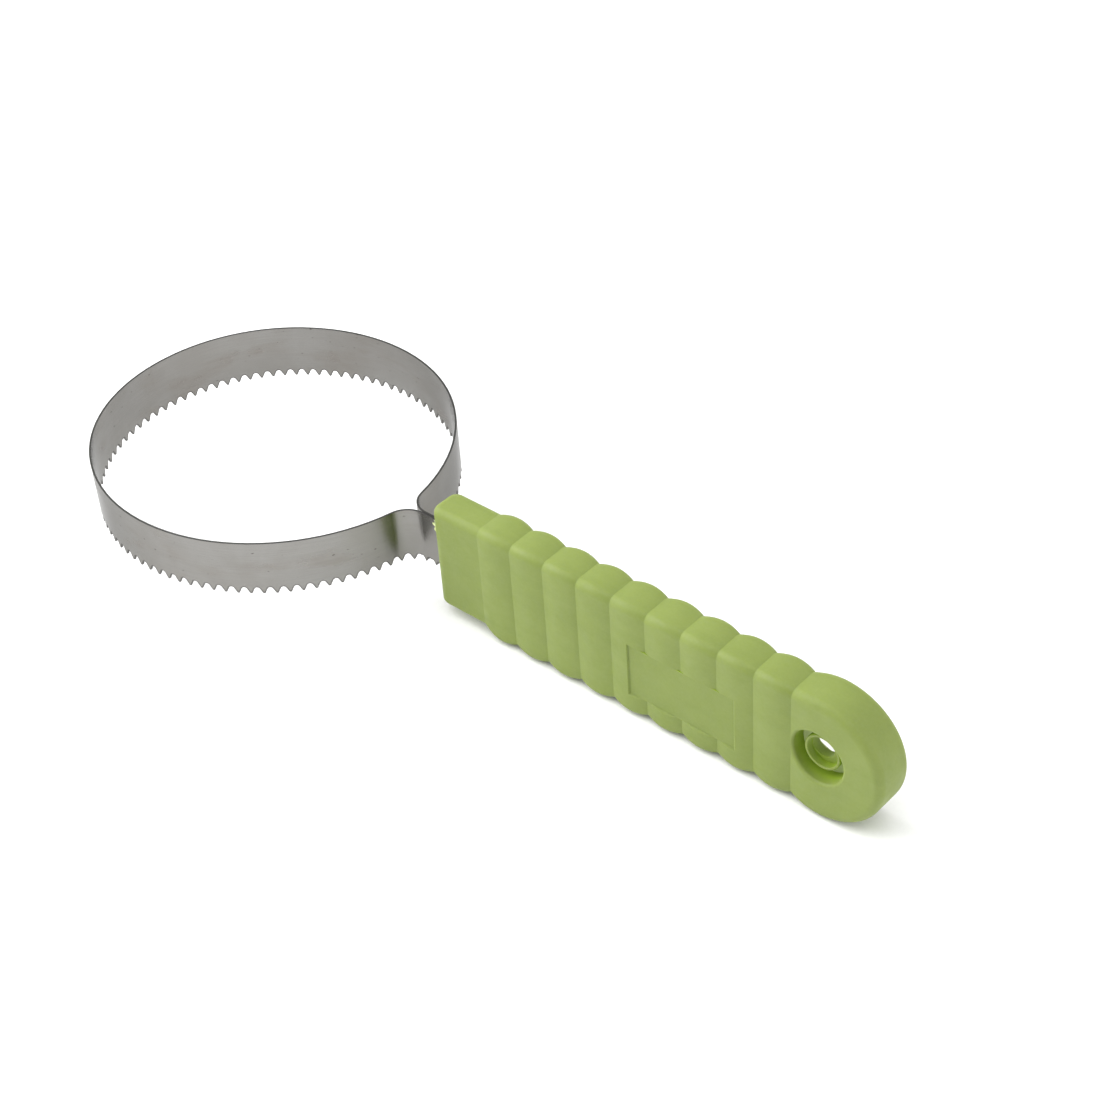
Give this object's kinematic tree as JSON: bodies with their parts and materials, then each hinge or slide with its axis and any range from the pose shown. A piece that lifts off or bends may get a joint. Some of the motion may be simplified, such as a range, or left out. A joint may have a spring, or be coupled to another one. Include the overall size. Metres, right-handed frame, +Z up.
{
  "type": "shedding blade",
  "caption": "Pet-grooming shedding blade: a toothed spring-steel strip bent into a round loop, its tails held in a lobed plastic handle with a hanging eye.",
  "frame": {"origin": "under the middle of the whole tool's box, at the height of its lowest point", "axes": "+X along the handle from the loop to the hanging eye, +Z up the handle's height with the teeth pointing down, +Y across the loop"},
  "size_m": [0.2378, 0.0916, 0.0331],
  "materials": {
    "green_plastic": "moulded, soft satin, yellow-green",
    "spring_steel": "rolled strip, satin, fine scratches along its length",
    "rivet_metal": "plain, hidden inside the handle"
  },
  "bodies": {
    "root": {"handle_grip": "green_plastic", "blade_band": "spring_steel", "eye_bush": "green_plastic", "front_rivet": "rivet_metal", "middle_rivet": "rivet_metal"}
  },
  "joints": []
}
